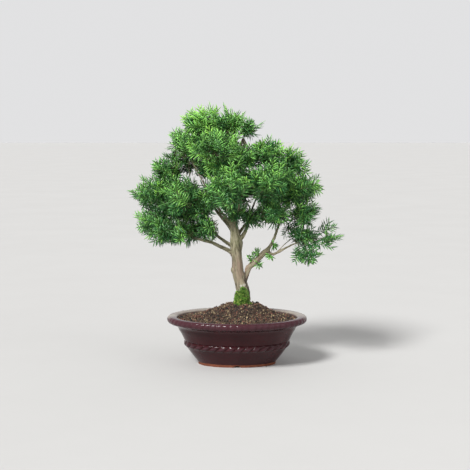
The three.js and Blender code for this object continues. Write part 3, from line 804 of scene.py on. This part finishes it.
# ---------- needles and twigs ----------
def needle_shape():
    """One needle along +Y, one long and one wide, with a keel underneath: points and triangles."""
    deselect()
    bpy.ops.mesh.primitive_circle_add(vertices=3, radius=0.5, fill_type="NGON", location=(0, 0, 0))
    edit_all()
    bpy.ops.transform.resize(value=(0.78, 0.62, 1))
    bpy.ops.mesh.extrude_region_move(TRANSFORM_OT_translate={"value": (0, 0.04, 0.52)})
    bpy.ops.transform.resize(value=(1.45, 1.7, 1))
    bpy.ops.mesh.extrude_region_move(TRANSFORM_OT_translate={"value": (0, -0.1, 0.48)})
    bpy.ops.mesh.merge(type="CENTER")
    bpy.ops.mesh.select_all(action="SELECT")
    bpy.ops.mesh.quads_convert_to_tris()
    bpy.ops.mesh.normals_make_consistent(inside=False)
    bpy.ops.object.mode_set(mode="OBJECT")
    points, faces = take_shape(context_object())
    # the circle lies in X and Y and the needle runs up: turned to run along Y, its flat side up
    turned = np.stack([points[:, 0], points[:, 2], -points[:, 1]], 1)
    return turned, faces


class Sprouts:
    """Collects the stems and needles of one pad."""

    STEM = 1.2 * MM
    THICK = 0.7 * MM  # of a needle
    # openings in the crown, where most needles are left out: across and up, half width and half height
    WINDOWS = (
        (-0.082, 0.384, 0.006, 0.004),
        (0.026, 0.323, 0.008, 0.013),
        (-0.158, 0.324, 0.007, 0.006),
        (-0.082, 0.328, 0.008, 0.006),
        (0.089, 0.322, 0.006, 0.007),
        (0.088, 0.298, 0.005, 0.007),
        (0.007, 0.444, 0.008, 0.006),
        (-0.026, 0.282, 0.012, 0.016),
    )

    def __init__(self, foliage, dice):
        self.foliage = foliage
        self.dice = dice
        self.origins = []
        self.axes = []
        self.growth = []
        # how much painted shade darkens the next needles, from how deep in the pad they are
        self.inner_shade = 0  # how deep in the pad the next needles are, from 0 to 1

    def in_window(self, spot):
        for x, z, wide, high in self.WINDOWS:
            if ((spot[0] - x) / wide) ** 2 + ((spot[2] - z) / high) ** 2 < 1:
                return True
        return False

    def piece(self, origin, along, up, size, width, thick, growth):
        """One needle or stem. growth is its youth with painted light and shade, a chance number that painted
        shade lowers deep in a pad, and whether it is a stem.
        """
        middle = origin + along * size / 2
        if growth[2] == 0 and self.dice.uniform() < 0.85 and self.in_window(middle):
            return
        side = unit(np.cross(along, up))
        face = np.cross(side, along)
        self.origins.append(origin)
        self.axes.append(np.stack([side * width, along * size, face * thick]))
        self.growth.append(growth)

    def feather(self, base, along, plane, size, bare, youth_and_light, loose, scale=1.0, least=6):
        """A shoot: a green stem that curves up a little, with a rank of needles down each side."""
        f, dice = self.foliage, self.dice
        lift = unit(np.array([0, 0, 1]) + 0.4 * plane) * size * dice.uniform(0.0, 0.2)
        stations = [base + along * size * t + lift * t * t for t in (0, 0.5, 1)]
        for start, end in zip(stations, stations[1:]):
            step = end - start
            reach = np.linalg.norm(step)
            growth = (youth_and_light, dice.uniform(), 1, 1)
            self.piece(start, step / reach, plane, 1.2 * reach, self.STEM, self.STEM, growth)
        count = max(least, int(size * (1 - bare) / f.spacing))
        for index in range(count):
            t = bare + (1 - bare) * (index + 0.6) / count
            spot = base + along * size * t + lift * t * t
            heading = unit(along * size + 2 * lift * t)
            side = unit(np.cross(heading, plane)) * (1 if index % 2 else -1)
            tilt = dice.normal(0.15, 0.7 * loose)
            near_tip = (index + 0.5) / count
            spread = math.radians(62 - 40 * near_tip**3) + dice.normal(0, 0.09)
            outward = side * math.cos(tilt) + plane * math.sin(tilt)
            way = unit(heading * math.cos(spread) + outward * math.sin(spread))
            grown = 0.66 + 0.40 * math.sin(math.pi * min(1, 0.1 + 0.9 * near_tip) ** 0.8)
            size_here = scale * f.needle * grown * dice.uniform(0.85, 1.12)
            flat = unit(plane * math.cos(tilt) - side * math.sin(tilt) + 0.16 * dice.normal(size=3))
            fresh = np.clip(youth_and_light + 0.22 * (near_tip - 0.5) + dice.normal(0, 0.08), 0, 1)
            # painted shade: needles deep in the pad get lower numbers, and so darker colours
            chance_and_shade = dice.uniform() * (1 - 0.92 * self.inner_shade)
            self.piece(spot, way, flat, size_here, f.needle_width, self.THICK, (fresh, chance_and_shade, 0, 1))

    def branchlet(self, base, tip, plane, youth_and_light, loose):
        """A flat spray: one long shoot, and shorter ones that leave it on either side."""
        f, dice = self.foliage, self.dice
        along = tip - base
        reach = np.linalg.norm(along)
        along = along / reach
        plane = unit(plane - along * plane.dot(along))
        side = np.cross(along, plane)
        self.feather(base, along, plane, reach, 0.22, min(1, youth_and_light + 0.05), loose)
        position, hand = reach * dice.uniform(0.42, 0.62), 1 if dice.uniform() < 0.5 else -1
        while position > 0.12 * reach:
            angle = math.radians(dice.uniform(34, 54))
            way = along * math.cos(angle) + hand * side * math.sin(angle) + plane * dice.normal(0.06, 0.2)
            way = unit(way)
            inner = 1 - position / reach
            size = f.shoot * dice.uniform(0.7, 1.1) * (0.8 + 0.35 * inner)
            self.feather(base + along * position, way, plane, size, 0.08, max(0, youth_and_light - 0.35 * inner), loose)
            position -= f.shoot_gap * dice.uniform(0.7, 1.3)
            hand = -hand

    def mesh(self, name, shape, faces, material):
        """All that was collected, as one mesh."""
        origins, axes = np.array(self.origins), np.array(self.axes)
        points, cells = copies(shape, faces, origins, axes)
        piece = triangle_mesh(name, points, cells, material)
        note(piece.data, "growth", np.repeat(np.array(self.growth), len(shape), axis=0))
        return piece


def pad_area(half):
    """The area of an ellipsoid, nearly."""
    pairs = ((half[0] * half[1]) ** 1.6 + (half[0] * half[2]) ** 1.6 + (half[1] * half[2]) ** 1.6) / 3
    return 4 * math.pi * pairs ** (1 / 1.6)


def depth_in(point, pad):
    """How far out in a pad a point lies: 0 at its middle and 1 on its surface."""
    middle, half = pad
    return np.linalg.norm((point - middle) / half)


class BONSAI_OT_foliage(bpy.types.Operator):
    """The pads of flat needles, and the twigs that carry them"""

    bl_idname = "bonsai.foliage"
    bl_label = "Needles and twigs"

    HEART = (0.01, 0.0, 0.27)  # the place that the branchlets point away from

    # sprays between the pads: the pad that they belong to, the space's middle and half size, and their number
    FILLS = (
        ("pad_left_shoulder", (-0.128, -0.01, 0.412), (0.018, 0.04, 0.008), 5),
        ("pad_crown_left", (-0.105, 0.0, 0.402), (0.016, 0.05, 0.014), 7),
        ("pad_crown_left", (-0.062, 0.0, 0.398), (0.024, 0.05, 0.020), 14),
        ("pad_crown_left", (-0.038, -0.01, 0.484), (0.020, 0.04, 0.010), 6),
        ("pad_left_inner", (-0.082, -0.01, 0.272), (0.036, 0.04, 0.010), 11),
        ("pad_crown_core", (-0.040, -0.02, 0.385), (0.020, 0.05, 0.03), 8),
        ("pad_crown_tip", (0.024, -0.01, 0.412), (0.026, 0.05, 0.022), 13),
        ("pad_left_inner", (-0.062, -0.02, 0.350), (0.03, 0.05, 0.014), 5),
        ("pad_right_outer_low", (0.118, -0.01, 0.272), (0.024, 0.03, 0.010), 4),
        ("pad_right_shoulder", (0.085, -0.01, 0.385), (0.03, 0.05, 0.02), 7),
        ("pad_left_outer", (-0.150, -0.01, 0.318), (0.03, 0.05, 0.014), 5),
    )

    # branchlets that reach out of the crown: the pad that they belong to, where they start and their tips
    LEADERS = (
        ("pad_low_right", (0.150, -0.02, 0.254), (0.205, -0.03, 0.250)),
        ("pad_low_right", (0.140, -0.03, 0.250), (0.186, -0.05, 0.238)),
        ("pad_low_right", (0.128, -0.03, 0.256), (0.148, -0.05, 0.212)),
        ("pad_low_right", (0.118, -0.02, 0.250), (0.128, -0.04, 0.208)),
        ("pad_low_right", (0.150, 0.01, 0.262), (0.196, 0.02, 0.268)),
    )

    def execute(self, context):
        foliage = context.scene.bonsai_foliage
        wood = context.scene.bonsai_wood
        shape, faces = needle_shape()
        material = needle_material(foliage)
        bark_points = places(bpy.data.objects["trunk_and_limbs"].data)
        self.bark_points = bark_points[bark_points[:, 2] > 0.15]
        self.twigs = []
        self.pads = {}
        for node in PADS:
            low, high = (np.array(corner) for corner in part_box(node))
            self.pads[node] = ((low + high) / 2, (high - low) / 2)
        for number, node in enumerate(PADS):
            sprouts = Sprouts(foliage, np.random.default_rng(100 + number))
            if node.startswith("tuft_"):
                self.star(sprouts, *self.pads[node])
                name = node + "_needles"
            else:
                self.grow(sprouts, node)
                name = "needles_" + node.split("_", 1)[1]
            hand_over(sprouts.mesh(name, shape, faces, material), "needles", node)
        self.twig_mesh(self.twigs, bark_material(wood, "twig_bark", 0.5))
        return {"FINISHED"}

    def star(self, sprouts, middle, half):
        """A few short shoots straight off the bark."""
        dice = sprouts.dice
        root = self.bark_points[np.linalg.norm(self.bark_points - middle, axis=1).argmin()]
        out = unit(middle - root)
        for _ in range(4):
            way = unit(out + dice.normal(0, 0.5, 3) * (1, 0.8, 1))
            plane = unit(np.array([0, -1, 0.3]) + dice.normal(0, 0.35, 3))
            size = dice.uniform(0.7, 1.2) * half.max()
            sprouts.feather(root - out * 0.001, way, plane, size, 0.15, dice.uniform(0.2, 0.6), 0.3, 0.72, 4)

    def spray(self, sprouts, tip, outward, anchors, pad):
        """One branchlet that ends at a tip, and the twig that carries it."""
        dice = sprouts.dice
        radial = unit((tip - self.HEART) * (1, 0.8, 1))
        along = unit(outward * (0.55, 0.4, 0.55) + radial * (0.75, 0.4, 0.6) + dice.normal(0, 0.34, 3))
        size = dice.uniform(0.034, 0.060)
        base = tip - along * size
        while depth_in(base, pad) > 0.95 and size > 0.025:
            along = unit(along + 0.25 * outward)
            size *= 0.9
            base = tip - along * size
        plane = unit(outward + 0.35 * np.array([0, 0, 1]) + dice.normal(0, 0.38, 3))
        if abs(plane.dot(along)) > 0.93:
            plane = unit(plane + dice.normal(0, 0.8, 3))
        height = (tip[2] - 0.25) / 0.26
        # younger and brighter high up and on upward sprays: new growth, and painted light from above
        youth_and_light = np.clip(0.12 + 0.46 * height**2 + 0.20 * outward[2] + dice.normal(0, 0.26), 0.02, 1)
        # painted shade inside the pad, less of it high up
        sprouts.inner_shade = np.clip((0.88 - depth_in(tip, pad)) / 0.35, 0, 1) * (1 - 0.5 * np.clip(height, 0, 1))
        sprouts.branchlet(base, tip, plane, youth_and_light * (1 - 0.6 * sprouts.inner_shade), 0.26)
        sprouts.inner_shade = 0
        self.feed(anchors, base, dice)

    def feed(self, anchors, base, dice):
        """The twig that carries a branchlet, from the nearest place on the wood."""
        start = anchors[np.linalg.norm(anchors - base, axis=1).argmin()]
        self.twigs.append((self.path(start, base, dice, 0.04), 0.9 * MM, 0.7 * MM))

    def grow(self, sprouts, node):
        """A pad: sprays all over its outside and some inside it, and those between it and its neighbours."""
        dice, foliage = sprouts.dice, sprouts.foliage
        middle, half = self.pads[node]
        gaps = np.linalg.norm(self.bark_points - middle, axis=1)
        root = self.bark_points[gaps.argmin()]
        heart = middle - np.array([0, 0, 0.25 * half[2]])
        feeder = self.path(root, heart, dice, 0.06)
        if gaps.min() > 0.004:
            self.twigs.append((feeder, 1.6 * MM, 1.0 * MM))
        near = self.bark_points[gaps < half.max() * 0.9]
        anchors = np.concatenate([feeder, near[:: max(1, len(near) // 40)]]) if len(near) else feeder
        others = [pad for name, pad in self.pads.items() if name != node]
        count = int(pad_area(half) / foliage.cell**2)
        for tip, way in self.shell(middle, half, count, dice):
            buried = min(depth_in(tip, pad) for pad in others) < 0.72
            if (not buried or dice.uniform() < 0.08) and not self.bare(tip, dice):
                self.spray(sprouts, tip, way, anchors, (middle, half))
        for _ in range(count // 8):
            way = unit(dice.normal(size=3))
            self.spray(sprouts, middle + way * half * dice.uniform(0.3, 0.7), way, anchors, (middle, half))
        self.leaders(sprouts, node, anchors)
        for owner, centre, size, number in self.FILLS:
            if owner == node:
                for _ in range(number):
                    way = unit(dice.normal(size=3) * (1, 0.7, 1))
                    tip = centre + way * size * dice.uniform(0.3, 1)
                    self.spray(sprouts, tip, way, anchors, (centre, half))

    def leaders(self, sprouts, node, anchors):
        """The branchlets that are listed one by one in LEADERS."""
        for owner, base, tip in self.LEADERS:
            if owner == node:
                base, tip = np.array(base), np.array(tip)
                plane = unit(np.array([0, -0.6, 0.8]) + sprouts.dice.normal(0, 0.3, 3))
                sprouts.branchlet(base, tip, plane, sprouts.dice.uniform(0.0, 0.3), 0.26)
                self.feed(anchors, base, sprouts.dice)

    def bare(self, tip, dice):
        """Whether a branchlet is left out, to show the trunk's fork and keep the low right side open."""
        x, y, z = tip
        if y < 0.04 and ((-0.05 < x < 0.005 and z < 0.302) or (0.004 < x < 0.048 and z < 0.284)):
            return dice.uniform() < 0.85
        if x > 0.11 and z < 0.262:
            return dice.uniform() < 0.6
        return x > 0.14 and z < 0.32 and dice.uniform() < 0.5

    def shell(self, middle, half, count, dice):
        """Places spread evenly over a pad's outside, and the way out from its middle there."""
        index = np.arange(count) + 0.5
        polar = np.arccos(1 - 2 * index / count)
        turn = math.pi * (1 + 5**0.5) * index + dice.uniform(0, math.tau)
        way = np.stack([np.cos(turn) * np.sin(polar), np.sin(turn) * np.sin(polar), np.cos(polar)], 1)
        way = unit(way + dice.normal(0, 0.12, way.shape))
        reach = np.where(way[:, 2:] < -0.3, 0.86, 0.94) + dice.uniform(-0.38, 0.11, (count, 1))
        spots = middle + way * half * reach
        return zip(spots, unit(way / half * half.mean()))

    def path(self, start, end, dice, wander):
        """A slightly crooked line between two points."""
        steps = 6
        reach = np.linalg.norm(end - start)
        t = np.linspace(0, 1, steps)[:, None]
        bow = dice.normal(0, wander, 3) * reach
        line = start + (end - start) * t + bow * 4 * t * (1 - t)
        line[1:-1] += dice.normal(0, 0.02 * reach + 0.0002, (steps - 2, 3))
        return line

    def twig_mesh(self, twigs, material):
        """All the twigs as one piece, each from its thick end to its thin one."""
        curve = bpy.data.curves.new("twigs", "CURVE")
        curve.dimensions = "3D"
        curve.bevel_depth = 1
        curve.bevel_resolution = 0
        curve.use_fill_caps = True
        for line, thick, thin in twigs:
            spline = curve.splines.new("POLY")
            spline.points.add(len(line) - 1)
            spline.points.foreach_set("co", np.hstack([line, np.ones((len(line), 1))]).ravel())
            spline.points.foreach_set("radius", np.linspace(thick, thin, len(line)))
        make_active(stand("twigs", curve))
        bpy.ops.object.convert(target="MESH")
        piece = context_object()
        give(piece, material)
        shade(piece)
        note(piece.data, "grain", places(piece.data))
        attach(piece, "root")


# ---------- moss ----------
def clumps(points, scale, shift=0.0):
    """Smooth noise between about -0.6 and 0.6 at each point."""
    return np.array([noise.noise(Vector(p * scale + shift)) for p in points])


class BONSAI_OT_moss(bpy.types.Operator):
    """The moss on the foot of the trunk: a lumpy mat with short shoots all over it"""

    bl_idname = "bonsai.moss"
    bl_label = "Moss"

    SHOOTS = 6500
    SPINE = np.array([0.0115, 0.0])  # the middle of the trunk that the moss goes round

    def execute(self, context):
        foliage = context.scene.bonsai_foliage
        dice = np.random.default_rng(9)
        material = moss_material(foliage)
        mat = merged_copy("moss", "moss_mat")
        apply_modifier(mat, "REMESH", mode="VOXEL", voxel_size=0.9 * MM)
        apply_modifier(mat, "SMOOTH", factor=0.5, iterations=3)
        self.lumps(mat.data)
        spots, normals, hidden = self.scatter(mat.data, dice)
        spots, normals = spots[~hidden], normals[~hidden]
        count = len(spots)
        way = unit(normals + np.array([0, 0, 0.5]) + dice.normal(0, 0.45, (count, 3)))
        side = unit(np.cross(way, unit(dice.normal(size=(count, 3)))))
        size = dice.uniform(0.0016, 0.0036, (count, 1))
        axes = np.stack([side * 0.0009, way * size, np.cross(side, way) * 0.0007], 1)
        shape, faces = needle_shape()
        blades, blade_faces = copies(shape, faces, spots - way * 0.0004, axes)
        tufts = triangle_mesh("moss_shoots", blades, blade_faces, material)
        note(tufts.data, "growth", np.repeat(self.tones(spots, dice), len(shape), axis=0))
        mat.data.materials.append(material)
        note(mat.data, "growth", self.tones(places(mat.data), dice) * (0.5, 0.7, 1, 1))
        shade(mat)
        hand_over(join([tufts, mat], "moss_mat"), "moss", "moss")
        return {"FINISHED"}

    def lumps(self, mesh):
        """Swells the mat in cushions, and sinks its ragged border under the bark, deepest on the right."""
        points = places(mesh)
        ragged = clumps(points, 130) + 0.5 * clumps(points, 330, 7)
        low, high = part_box("moss")
        across = (points[:, 0] - low.x) / (high.x - low.x)
        up = (points[:, 2] - low.z) / (high.z - low.z)
        # the border is higher in the middle than on the left, and lowest on the right
        line = 0.62 * np.clip(up, 0, 1) ** 1.5 + 0.6 * np.clip(0.42 - across, 0, 1) * np.clip(up, 0, 1)
        line += 2.8 * np.clip(across - 0.54, 0, 1) * np.clip(0.3 + 3 * up, 0, 1)
        self.sunk = np.clip((line + 0.30 * ragged - 0.44) / 0.22, 0, 1)
        cushions = 0.9 * MM * clumps(points, 260, 3)
        outward = np.hstack([points[:, :2] - self.SPINE, np.zeros((len(points), 1))])
        push = cushions * (1 - self.sunk) - 3.4 * MM * self.sunk - 0.4 * MM
        move_points(mesh, points + unit(outward) * push[:, None])

    def scatter(self, mesh, dice):
        """Places all over the mat, the way out of it there, and whether it has sunk under the bark."""
        mesh.calc_loop_triangles()
        points = places(mesh)
        cells = np.array([list(t.vertices) for t in mesh.loop_triangles])
        a, b, c = points[cells[:, 0]], points[cells[:, 1]], points[cells[:, 2]]
        cross = np.cross(b - a, c - a)
        normals = unit(cross)
        outside = ((a[:, :2] - self.SPINE) * normals[:, :2]).sum(1) > 0
        area = np.linalg.norm(cross, axis=1) * outside
        picked = dice.choice(len(cells), self.SHOOTS, p=area / area.sum())
        u, v = dice.uniform(size=(2, self.SHOOTS, 1))
        fold = u + v > 1
        u, v = np.where(fold, 1 - u, u), np.where(fold, 1 - v, v)
        spots = a[picked] + (b - a)[picked] * u + (c - a)[picked] * v
        return spots, normals[picked], self.sunk[cells[picked, 0]] > 0.45

    def tones(self, points, dice):
        """How bright and how yellow the moss is at each point."""
        bright = 0.55 + 1.3 * clumps(points, 430, 11) + dice.normal(0, 0.12, len(points))
        yellow = 0.40 + 1.2 * clumps(points, 300, 23) + dice.normal(0, 0.12, len(points))
        facts = [np.clip(bright, 0.05, 1), np.clip(yellow, 0, 1), np.zeros(len(points)), np.ones(len(points))]
        return np.stack(facts, 1)


# ---------- stage ----------
def aim(thing, place, target):
    """Puts a lamp or the camera at a place, and turns it to a target."""
    thing.location = place
    thing.rotation_euler = (Vector(target) - Vector(place)).to_track_quat("-Z", "Y").to_euler()


class BONSAI_OT_stage(bpy.types.Operator):
    """The pale floor, the soft light and the camera"""

    bl_idname = "bonsai.stage"
    bl_label = "Stage"

    FLOOR_PALE, FLOOR_SHADE = (0.53, 0.524, 0.512), (0.515, 0.509, 0.497)
    # name, kind, place, what it is aimed at, and its width and strength
    LIGHTS = (
        ("key_light", "SUN", (-1.4, -1.9, 2.2), (0, 0, 0), {"angle": math.radians(16), "energy": 3.9}),
        ("fill_light", "AREA", (2.2, -1.8, 1.5), (0, 0, 0.25), {"size": 1.8, "energy": 12}),
    )
    CAMERA, CAMERA_AIM = (-0.004, -2.173, 0.474), (-0.004, 0, 0.259)

    def execute(self, context):
        deselect()
        bpy.ops.mesh.primitive_plane_add(size=60, location=(0, 0, 0))
        floor = context_object()
        floor.name = "floor"
        finish = plain_material("pale_floor", self.FLOOR_PALE, self.FLOOR_SHADE, 0.9, 3, 0, 0.1 * MM)
        floor.data.materials.append(finish)
        self.studio(context.scene)
        for name, kind, place, target, values in self.LIGHTS:
            lamp = stand(name, bpy.data.lights.new(name, kind))
            for key, value in values.items():
                setattr(lamp.data, key, value)
            aim(lamp, place, target)
        camera = stand("camera", bpy.data.cameras.new("camera"))
        camera.data.lens = 84
        camera.data.sensor_width = 36
        aim(camera, self.CAMERA, self.CAMERA_AIM)
        context.scene.camera = camera
        return {"FINISHED"}

    def studio(self, scene):
        """A soft white room, as bright as the floor where the two meet and dimmer overhead."""
        world = bpy.data.worlds.new("studio")
        world.use_nodes = True
        nodes = Nodes(world.node_tree)
        height = nodes.axes(nodes.coordinates["Generated"])["Z"]
        strength = nodes.ramp(height, 0.12, 0.5, 0.765, 0.55)
        nodes.plug(world.node_tree.nodes["Background"], {"Color": (0.99, 0.99, 1.0, 1), "Strength": strength})
        scene.world = world
        scene.view_settings.view_transform = "Standard"


# ---------- add-on ----------
STEPS = (
    BONSAI_OT_stage,
    BONSAI_OT_pot,
    BONSAI_OT_drain,
    BONSAI_OT_soil,
    BONSAI_OT_wood,
    BONSAI_OT_foliage,
    BONSAI_OT_moss,
)
SETTINGS = {
    "bonsai_pot": PotSettings,
    "bonsai_soil": SoilSettings,
    "bonsai_wood": WoodSettings,
    "bonsai_foliage": FoliageSettings,
}


class BONSAI_PT_panel(bpy.types.Panel):
    """Lists the bonsai's settings and steps"""

    bl_label = "Bonsai"
    bl_idname = "BONSAI_PT_panel"
    bl_space_type = "VIEW_3D"
    bl_region_type = "UI"
    bl_category = "Bonsai"

    def draw(self, context):
        for name in SETTINGS:
            box = self.layout.box()
            for key in getattr(context.scene, name).bl_rna.properties.keys():
                if key not in ("rna_type", "name"):
                    box.prop(getattr(context.scene, name), key)
        for step in STEPS:
            self.layout.operator(step.bl_idname)


def register():
    for kind in (*SETTINGS.values(), *STEPS, BONSAI_PT_panel):
        bpy.utils.register_class(kind)
    for name, kind in SETTINGS.items():
        setattr(bpy.types.Scene, name, bpy.props.PointerProperty(type=kind))


def unregister():
    for name in SETTINGS:
        delattr(bpy.types.Scene, name)
    for kind in (BONSAI_PT_panel, *reversed(STEPS), *SETTINGS.values()):
        bpy.utils.unregister_class(kind)


def main():
    register()
    bpy.ops.bonsai.stage()
    bpy.ops.bonsai.pot()
    bpy.ops.bonsai.drain()
    bpy.ops.bonsai.soil()
    bpy.ops.bonsai.wood()
    bpy.ops.bonsai.foliage()
    bpy.ops.bonsai.moss()


if __name__ == "__main__":
    main()
